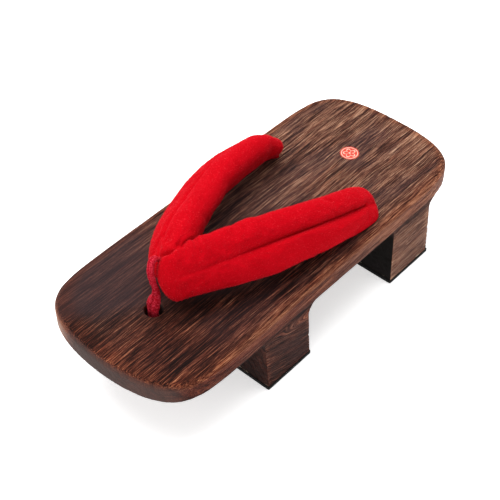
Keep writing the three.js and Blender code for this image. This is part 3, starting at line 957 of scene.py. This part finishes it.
def stuffStrap(which):
    # the strap's cloth, cut a little large and filled from inside, as offsets on a coarse grid
    grid, middle, _, place = strapGrid(which, stuffing["sections"], stuffing["around"],
                                             stuffing["capRings"])
    rings, around = grid.shape[:2]
    out = grid - middle[:, None]
    out /= np.maximum(np.linalg.norm(out, axis=2), 1e-6)[:, :, None]
    start = seatOnDeck(grid - out * stuffing["slack"])
    tips = np.array([start[0].mean(0), start[-1].mean(0)])
    points = np.vstack([start.reshape(-1, 3), tips])
    mesh = bpy.data.meshes.new("stuffing")
    mesh.from_pydata((points * mm).tolist(), [], loftFaces(rings, around, rings * around, rings * around + 1))
    cloth_ = bpy.data.objects.new("stuffing", mesh)
    addToScene(cloth_)
    turn = fullTurn(around)
    onCrease = np.abs(np.cos(turn) - which["creaseAt"]) < 0.09
    onCrease &= np.sin(turn) > 0
    held = (onCrease[None] & (place < stuffing["creasePinned"])[:, None]).astype(float)
    held = np.maximum(held, start[..., 2] < deckZ + strap["seat"] + 1.2)
    held[:2], held[-2:] = 1, 1
    pins = cloth_.vertex_groups.new(name="pins")
    heldPoints = np.flatnonzero(held.ravel()).tolist() + [rings * around, rings * around + 1]
    pins.add(heldPoints, 1.0, "REPLACE")
    modifier = cloth_.modifiers.new("cloth", "CLOTH")
    settings = modifier.settings
    settings.vertex_group_mass = "pins"
    settings.use_pressure, settings.uniform_pressure_force = True, stuffing["pressure"]
    settings.tension_stiffness = settings.compression_stiffness = stuffing["stiffness"]
    settings.bending_stiffness = stuffing["bending"]
    settings.shrink_min = -stuffing["grow"]
    settings.effector_weights.gravity = 0.0
    modifier.collision_settings.use_collision = False
    modifier.point_cache.frame_end = stuffing["frames"]
    for step in range(1, stuffing["frames"] + 1):
        bpy.context.scene.frame_set(step)
    graph = bpy.context.evaluated_depsgraph_get()
    settled = pointsOf(cloth_.evaluated_get(graph))[:rings * around].reshape(rings, around, 3)
    bpy.data.objects.remove(cloth_)
    bpy.context.scene.frame_set(1)
    offset = settled - grid
    reach = np.linalg.norm(offset, axis=2)
    print(f"strap cloth moved {np.linalg.norm(settled - start, axis=2).max():.2f} mm at most,"
          f" {reach.mean():.2f} mm from its form on average")
    limited = stuffing["cap"] * np.tanh(reach / stuffing["cap"]) / np.maximum(reach, 1e-6)
    return offset * limited[:, :, None], place


def readOffsets(offset, place, denseAround, densePlace):
    # smooth reading of the coarse grid's offsets at a dense grid's places
    rings, around = offset.shape[:2]
    shares = np.interp(densePlace, place, np.linspace(0, 1, rings))
    lengthwise = smoothThrough(offset.reshape(rings, -1), shares).reshape(len(densePlace), around, 3)
    lapped = np.concatenate([lengthwise[:, -3:], lengthwise, lengthwise[:, :4]], axis=1)
    turns = (3 + np.arange(denseAround) * around / denseAround) / (around + 6)
    rows = lapped.transpose(1, 0, 2).reshape(around + 7, -1)
    return smoothThrough(rows, turns).reshape(denseAround, len(densePlace), 3).transpose(1, 0, 2)


def strapPiece(which):
    grid, _, tangent, place = strapGrid(which, strap["sections"], strap["around"], strap["capRings"])
    grid = grid + readOffsets(*stuffStrap(which), strap["around"], place)
    grid = seatOnDeck(grid)
    tip = strap["tip"]
    tips = np.array([grid[0].mean(0) - tangent[0] * tip, grid[-1].mean(0) + tangent[-1] * tip])
    return tubePiece("strap", grid, seatOnDeck(tips))


def neckPiece(side):
    # the strap's end gathered down through its hole
    # forward: how far it leans towards the toe, so that it meets the strap above the board
    levels = [(side * heelHole[0], heelHoleY(z) - forward, z, strap["neckRadius"] * grow)
              for z, grow, forward in ((underside, 0.93, 0), (underside + 2, 0.98, 0), (deckZ - 3, 1.0, 0),
                                       (deckZ, 0.9, 1.1), (deckZ + 1.5, 0.85, 4.0), (deckZ + 3, 0.75, 6.5))]
    neck = rodPiece(levels, 72)
    places = pointsOf(neck)
    forward = np.interp(places[:, 2], [level[2] for level in levels],
                        [heelHoleY(level[2]) - level[1] for level in levels])
    axis = np.column_stack([np.full(len(places), side * heelHole[0]), heelHoleY(places[:, 2]) - forward])
    out = places[:, :2] - axis
    turn = np.arctan2(out[:, 1], out[:, 0])
    places[:, :2] = axis + out * (0.94 + 0.06 * np.cos(strap["neckFolds"] * turn))[:, None]
    movePoints(neck, places)
    return neck


# Toe loop

loop = {
    "width": 7.4, "thickness": 3.2, "crease": 0.6, "creaseWidth": 0.55, "steps": 190, "around": 64,
    "pathSteps": 1200, "crinkle": 0.26, "crinkleWidth": 1.5, "seeds": (4.0, 7.0),
}
# One row for each place: share of the straps' rise over the board, of their thickness behind the toe
# hole, of the loop's width to the left, and of its width.
loopRows = [
    (0, 0, -0.07, 1.05),
    (0.12, 0.02, -0.05, 1.15),
    (0.25, 0.06, 0.02, 1.08),
    (0.45, 0.13, 0.08, 0.76),
    (0.65, 0.15, 0.05, 0.55),
    (0.9, 0.1, -0.05, 0.56),
    (1.12, 0.1, -0.18, 0.58),
    (1.32, 0.18, -0.3, 0.56),
    (1.42, 0.36, -0.4, 0.5),
    (1.24, 0.6, -0.42, 0.36),
]


def loopPath(count):
    rows = [(0, toeHole[1], underside, 0.5 * loop["width"] * loopRows[0][3])]
    rows += [(side * loop["width"], toeHole[1] + back * strap["thickness"], deckZ + rise * strap["rise"],
              0.5 * loop["width"] * width) for rise, back, side, width in loopRows]
    # even steps along the path
    dense = smoothThrough(rows, np.linspace(0, 1, loop["pathSteps"]))
    length = pathLengths(dense[:, :3])
    even = np.linspace(0, length[-1], count)
    return np.column_stack([np.interp(even, length, dense[:, k]) for k in range(4)])


def loopPiece(name, grow, steps, around):
    path = loopPath(steps)
    centre = path[:, :3]
    tangent = alongPath(centre)
    through = np.cross(tangent, [1.0, 0, 0])
    through /= np.linalg.norm(through, axis=1)[:, None]
    across = np.cross(through, tangent)
    halfWidth = path[:, 3] + grow
    halfThickness = loop["thickness"] / 2 + grow
    turn = fullTurn(around)
    wide = halfWidth[:, None] * np.cos(turn)[None]
    deep = halfThickness * np.sin(turn)[None] * np.ones((steps, 1))
    if grow == 0:
        groove = loop["crease"] * np.exp(-(wide / loop["creaseWidth"]) ** 2)
        deep = deep - np.sign(np.sin(turn))[None] * groove * np.abs(np.sin(turn))[None] ** 0.3
    grid = centre[:, None] + across[:, None] * wide[:, :, None] + through[:, None] * deep[:, :, None]
    return tubePiece(name, grid, (centre[0], centre[-1] + tangent[-1] * halfThickness))


def crinkle(piece):
    # crepe: small wrinkles across the strip
    places, normals = pointsOf(piece), normalsOf(piece)
    width = loop["crinkleWidth"]
    waves = gridNoise(places * (0.35 / width, 1 / width, 1 / width), loop["seeds"][0])
    finer = gridNoise(places * (0.8 / width, 2 / width, 2 / width), loop["seeds"][1])
    movePoints(piece, places + normals * (loop["crinkle"] * (waves + 0.5 * finer) - 0.05)[:, None])


def easeCreases(piece):
    # lets the cloth run smoothly where a strap's end turns down into its hole
    build = bmesh.new()
    build.from_mesh(piece.data)
    reach, low = strap["easeReach"] * mm, (deckZ + strap["seat"] + 0.4) * mm
    for side in (1, -1):
        hole = Vector((side * heelHole[0], heelHoleY(deckZ), 0)) * mm
        near = [v for v in build.verts if v.co.z > low and (v.co.xy - hole.xy).length < reach]
        for _ in range(strap["easeTimes"]):
            bmesh.ops.smooth_vert(build, verts=near, factor=0.5,
                                  use_axis_x=True, use_axis_y=True, use_axis_z=True)
    build.to_mesh(piece.data)
    build.free()


def skinOf(piece):
    mesh = piece.data
    return BVHTree.FromPolygons([v.co for v in mesh.vertices], [f.vertices[:] for f in mesh.polygons])


def pressTogether(piece, skins):
    # a deep narrow fold where the two stuffed straps lie against each other
    places, normals = pointsOf(piece), normalsOf(piece)
    gap = np.full(len(places), 99.0)
    nearLoop = (np.abs(places[:, 0]) < 26) & (places[:, 1] < toeHole[1] + 50) & (places[:, 2] > deckZ + 6)
    for index in np.flatnonzero(nearLoop):
        gap[index] = max(skin.find_nearest(Vector(places[index] * mm))[3] for skin in skins) / mm
    depth = strap["pressDepth"] * np.exp(-(gap / strap["pressWidth"]) ** 2)
    movePoints(piece, places - normals * depth[:, None])


def makeStraps():
    pair, other = strapPiece(leftStrap), strapPiece(rightStrap)
    skins = skinOf(pair), skinOf(other)
    pair.name = "velvet_strap_pair"
    combine(pair, other, "UNION")
    for side in (1, -1):
        combine(pair, neckPiece(side), "UNION")
    combine(pair, loopPiece("loop_room", strap["clearance"], 60, 32), "DIFFERENCE")
    tidyMesh(pair.data)
    easeCreases(pair)
    pressTogether(pair, skins)
    softenCloth(pair)
    finishPiece(pair, redVelvet(), "strap_velvet", "strap_pair")
    fibres = velvetFibres()
    finishPiece(napPiece(pair, fibres), fibres, "strap_velvet")


cloth = {"dimple": 0.34, "dimpleWidth": 13.0, "nap": 0.10, "napWidth": 2.4, "seeds": (1.0, 5.0)}


def softenCloth(piece):
    # uneven stuffing as soft troughs and ridges, away from the deck and the holes
    places, normals = pointsOf(piece), normalsOf(piece)
    free = smoothStep(deckZ + 0.8, deckZ + 4, places[:, 2])
    dimples = gridNoise(places / cloth["dimpleWidth"], cloth["seeds"][0])
    nap = gridNoise(places / cloth["napWidth"], cloth["seeds"][1])
    movePoints(piece, places + normals * (free * (cloth["dimple"] * dimples + cloth["nap"] * nap))[:, None])


nap = {"perSquare": 2.2, "length": 0.7, "radius": 0.1, "lean": 0.9, "seed": 3, "shortest": 0.5}
napNodes = {
    "given": "NodeGroupInput", "result": "NodeGroupOutput", "where": "GeometryNodeInputNamedAttribute",
    "amount": "ShaderNodeMath", "scatter": "GeometryNodeDistributePointsOnFaces",
    "spike": "GeometryNodeMeshCone", "lean": "FunctionNodeRandomValue", "least": "ShaderNodeVectorMath",
    "most": "ShaderNodeVectorMath", "turned": "FunctionNodeRotateRotation",
    "size": "FunctionNodeRandomValue", "placed": "GeometryNodeInstanceOnPoints",
    "real": "GeometryNodeRealizeInstances", "painted": "GeometryNodeSetMaterial",
}
# One row for each link: from a node's socket to a node's socket.
napLinks = (
    ("given", "Geometry", "scatter", "Mesh"), ("where", "Attribute", "amount", 0),
    ("given", "Fibres per square metre", "amount", 1), ("amount", 0, "scatter", "Density"),
    ("given", "Seed", "scatter", "Seed"), ("given", "Length", "spike", "Depth"),
    ("given", "Radius", "spike", "Radius Bottom"), ("given", "Lean", "least", "Scale"),
    ("given", "Lean", "most", "Scale"), ("least", 0, "lean", "Min"), ("most", 0, "lean", "Max"),
    ("given", "Seed", "lean", "Seed"), ("scatter", "Rotation", "turned", "Rotation"),
    ("lean", "Value", "turned", "Rotate By"), ("scatter", "Points", "placed", "Points"),
    ("spike", "Mesh", "placed", "Instance"), ("turned", "Rotation", "placed", "Rotation"),
    ("size", 1, "placed", "Scale"), ("placed", "Instances", "real", "Geometry"),
    ("real", "Geometry", "painted", "Geometry"), ("painted", "Geometry", "result", "Geometry"),
)


def napTree(material):
    # short fibres all over a cloth: scattered points, a thin spike on each, leaning at random
    tree = bpy.data.node_groups.new("velvet_nap", "GeometryNodeTree")
    tree.interface.new_socket("Geometry", in_out="INPUT", socket_type="NodeSocketGeometry")
    for name in ("Fibres per square metre", "Length", "Radius", "Lean"):
        tree.interface.new_socket(name, in_out="INPUT", socket_type="NodeSocketFloat")
    tree.interface.new_socket("Seed", in_out="INPUT", socket_type="NodeSocketInt")
    tree.interface.new_socket("Geometry", in_out="OUTPUT", socket_type="NodeSocketGeometry")
    nodes = {name: tree.nodes.new(kind) for name, kind in napNodes.items()}
    nodes["where"].data_type = nodes["size"].data_type = "FLOAT"
    nodes["where"].inputs["Name"].default_value = "napped"
    nodes["amount"].operation = "MULTIPLY"
    nodes["scatter"].distribute_method = "RANDOM"
    nodes["spike"].fill_type = "NONE"
    nodes["spike"].inputs["Vertices"].default_value = 3
    nodes["lean"].data_type = "FLOAT_VECTOR"
    for name, corner in (("least", (-1, -1, -2)), ("most", (1, 1, 2))):
        nodes[name].operation = "SCALE"
        nodes[name].inputs[0].default_value = corner
    nodes["turned"].rotation_space = "LOCAL"
    nodes["size"].inputs[2].default_value, nodes["size"].inputs[3].default_value = nap["shortest"], 1.0
    nodes["painted"].inputs["Material"].default_value = material
    for start, output, end, given in napLinks:
        tree.links.new(nodes[start].outputs[output], nodes[end].inputs[given])
    return tree


def napPiece(cloth_, material):
    # the velvet's pile as short fibres, left off where the cloth lies on the board or is in a hole
    places = pointsOf(cloth_)
    keepNumbers(cloth_, napped=smoothStep(deckZ + 0.9, deckZ + 1.6, places[:, 2]))
    tree = napTree(material)
    modifier = cloth_.modifiers.new("nap", "NODES")
    modifier.node_group = tree
    given = {"Fibres per square metre": nap["perSquare"] / mm ** 2, "Length": nap["length"] * mm,
             "Radius": nap["radius"] * mm, "Lean": nap["lean"], "Seed": nap["seed"]}
    for item in tree.interface.items_tree:
        if item.in_out == "INPUT" and item.name in given:
            modifier[item.identifier] = given[item.name]
    bpy.context.view_layer.update()
    graph = bpy.context.evaluated_depsgraph_get()
    mesh = bpy.data.meshes.new_from_object(cloth_.evaluated_get(graph))
    cloth_.modifiers.remove(modifier)
    piece = bpy.data.objects.new("velvet_nap", mesh)
    addToScene(piece)
    return piece


def redVelvet():
    m = Nodes("red_velvet")
    places = m.places()
    lay = m.noise(places, (0.16, 0.12, 0.16), 3.0, 0.6, 0.4)
    tufts = m.noise(places, (1.3, 1.3, 1.3), 3.0, 0.65)
    pile = m.noise(places, (4.5, 4.5, 4.5), 2.0, 0.6)
    tone = m.total(0.5, (lay, 0.4, 0.5), (tufts, 0.7, 0.5), (pile, 0.7, 0.5))
    stops = [(0.15, (156, 2, 12)), (0.5, (181, 4, 18)), (0.85, (199, 11, 28))]
    m.set(Base_Color=m.ramp(tone, stops), Roughness=0.95, Specular_IOR_Level=0.03)
    m.set(Sheen_Weight=0.1, Sheen_Roughness=0.3, Sheen_Tint=paint(255, 110, 124))
    m.set(Normal=m.bump(m.total(0.0, (tufts, 1.0, 0.5), (pile, 0.8, 0.5)), 0.5, 0.4))
    return m.material


def velvetFibres():
    m = Nodes("velvet_fibres")
    # the paler pink fibres, spread at random, are a painted sheen
    sheenShare = m.noise(m.places(), (1.1, 1.1, 1.1), 3.0, 0.7)
    stops = [(0.36, (184, 5, 20)), (0.56, (224, 30, 46)), (0.72, (240, 96, 104))]
    m.set(Base_Color=m.ramp(sheenShare, stops), Roughness=0.9, Specular_IOR_Level=0.05)
    return m.material


def redCrepe():
    m = Nodes("red_crepe")
    places = m.places()
    crinkles = m.noise(places, (0.8, 1.5, 1.5), 3.0, 0.7, 0.5)
    threads = m.noise(places, (5.0, 5.0, 5.0), 2.0, 0.6)
    tone = m.total(0.5, (crinkles, 1.5, 0.5), (threads, 0.8, 0.5))
    stops = [(0.1, (112, 0, 12)), (0.5, (176, 7, 30)), (0.85, (226, 70, 92))]
    m.set(Base_Color=m.ramp(tone, stops), Roughness=0.9, Specular_IOR_Level=0.08)
    m.set(Sheen_Weight=0.06, Sheen_Roughness=0.4, Sheen_Tint=paint(255, 140, 150))
    m.set(Normal=m.bump(m.total(0.0, (crinkles, 1.0, 0.5), (threads, 0.6, 0.5)), 0.8, 0.35))
    return m.material


def makeLoop():
    piece = loopPiece("crepe_toe_loop", 0, loop["steps"], loop["around"])
    crinkle(piece)
    finishPiece(piece, redCrepe(), "loop_crepe", "toe_loop")


makeStraps()
makeLoop()


# Cord knots under the board

cordKnot = {"cord": 2.9, "twist": 9.0, "strands": 3, "turns": 3, "spiralTurns": 1.75, "stepLength": 0.5,
            "around": 24, "smoothTimes": 3, "bulge": 0.10}


def knotPath(height, radius):
    # down the middle, out in a flat spiral at the bottom, then up round the outside
    cord = cordKnot["cord"]
    low, high = -height + cord / 2, -cord / 2
    path = [(0, 0, z) for z in np.linspace(4, low + 1.5, 10)]
    reach = radius - cord / 2
    for share in np.linspace(0.06, 1, 50):
        angle = 2 * math.pi * cordKnot["spiralTurns"] * share
        r = reach * share
        path.append((r * math.cos(angle), r * math.sin(angle), low + 0.25 * (1 - share)))
    start = 2 * math.pi * cordKnot["spiralTurns"]
    for share in np.linspace(0.02, 1, 90):
        angle = start + 2 * math.pi * cordKnot["turns"] * share
        r = reach * (1 - cordKnot["bulge"] * (2 * share - 1) ** 2)
        path.append((r * math.cos(angle), r * math.sin(angle), low + (high - low) * share))
    for share in np.linspace(0.1, 1, 8):
        angle = start + 2 * math.pi * (cordKnot["turns"] + 0.12 * share)
        r = reach * (0.9 - 0.45 * share)
        path.append((r * math.cos(angle), r * math.sin(angle), high))
    return np.array(path)


def cordPiece(name, path, diameter):
    # a laid cord: three strands turning round the path
    lengths = pathLengths(path)
    even = np.arange(0, lengths[-1], cordKnot["stepLength"])
    centre = np.column_stack([np.interp(even, lengths, path[:, k]) for k in range(3)])
    for _ in range(cordKnot["smoothTimes"]):
        centre[1:-1] = (centre[:-2] + 2 * centre[1:-1] + centre[2:]) / 4
    tangent = alongPath(centre)
    side = np.cross(tangent[0], (1.0, 0.1, 0))
    sides = []
    for direction in tangent:
        side = side - direction * (side @ direction)
        side /= np.linalg.norm(side)
        sides.append(side)
    sides = np.array(sides)
    others = np.cross(tangent, sides)
    turn = fullTurn(cordKnot["around"])
    phase = 2 * math.pi * even[:, None] / cordKnot["twist"]
    lobes = 0.5 * diameter * (0.86 + 0.14 * np.abs(np.cos(cordKnot["strands"] * (turn[None] + phase) / 2)))
    grid = (centre[:, None] + sides[:, None] * (lobes * np.cos(turn)[None])[:, :, None]
            + others[:, None] * (lobes * np.sin(turn)[None])[:, :, None])
    return tubePiece(name, grid, (centre[0], centre[-1]))


def cottonCord():
    m = Nodes("cotton_cord")
    places = m.places()
    fibres = m.noise(places, (2.2, 2.2, 2.2), 4.0, 0.65)
    soil = m.noise(places, (0.2, 0.2, 0.2), 2.0)
    tone = m.total(0.5, (fibres, 0.9, 0.5), (soil, 0.8, 0.5))
    m.set(Base_Color=m.ramp(tone, [(0.2, (176, 162, 138)), (0.8, (222, 212, 192))]))
    m.set(Roughness=0.9, Sheen_Weight=0.2, Sheen_Roughness=0.5)
    m.set(Normal=m.bump(fibres, 0.5, 0.2))
    return m.material


def makeKnots():
    material = cottonCord()
    for name, node in (("toe_cord_knot", "toe_knot"), ("left_cord_knot", "left_knot"),
                       ("right_cord_knot", "right_knot")):
        low, high = nodeBox(node)
        middle = (low + high) / 2
        path = knotPath(high[2] - low[2], (high[0] - low[0]) / 2)
        piece = cordPiece(name, path + (middle[0], middle[1], high[2]), cordKnot["cord"])
        finishPiece(piece, material, "cotton_cord", node)


makeKnots()


# Floor and light

studio = {
    "floor": 0.92, "floorGlow": 0.52, "world": 0.6,
    "keyPower": 37.0, "keySize": 1.7, "keyPlace": (-0.4, 0.2, 1.5),
    "fillPower": 5.0, "fillSize": 0.9, "fillPlace": (-1.0, -1.0, 0.55),
}


def addFloor():
    m = Nodes("pale_floor")
    m.set(Base_Color=(studio["floor"],) * 3 + (1,), Roughness=0.9, Specular_IOR_Level=0.1)
    m.set(Emission_Color=(1, 1, 1, 1), Emission_Strength=studio["floorGlow"])
    half = 3000.0
    corners = [(-half, -half, 0), (half, -half, 0), (half, half, 0), (-half, half, 0)]
    floor = newPiece("floor", corners, [(0, 1, 2, 3)])
    floor.data.materials.append(m.material)


def addLamp(name, power, size, place):
    data = bpy.data.lights.new(name, "AREA")
    data.energy, data.size = power, size
    lamp = bpy.data.objects.new(name, data)
    lamp.location = place
    lamp.rotation_mode = "QUATERNION"
    lamp.rotation_quaternion = (-Vector(place)).to_track_quat("-Z", "Y")
    addToScene(lamp)


def addStudio():
    addFloor()
    addLamp("key", studio["keyPower"], studio["keySize"], studio["keyPlace"])
    addLamp("fill", studio["fillPower"], studio["fillSize"], studio["fillPlace"])
    world = bpy.data.worlds.new("studio")
    world.use_nodes = True
    world.node_tree.nodes["Background"].inputs["Color"].default_value = (1, 1, 1, 1)
    world.node_tree.nodes["Background"].inputs["Strength"].default_value = studio["world"]
    bpy.context.scene.world = world
    bpy.context.scene.view_settings.view_transform = "Standard"


addStudio()
print("studio set")
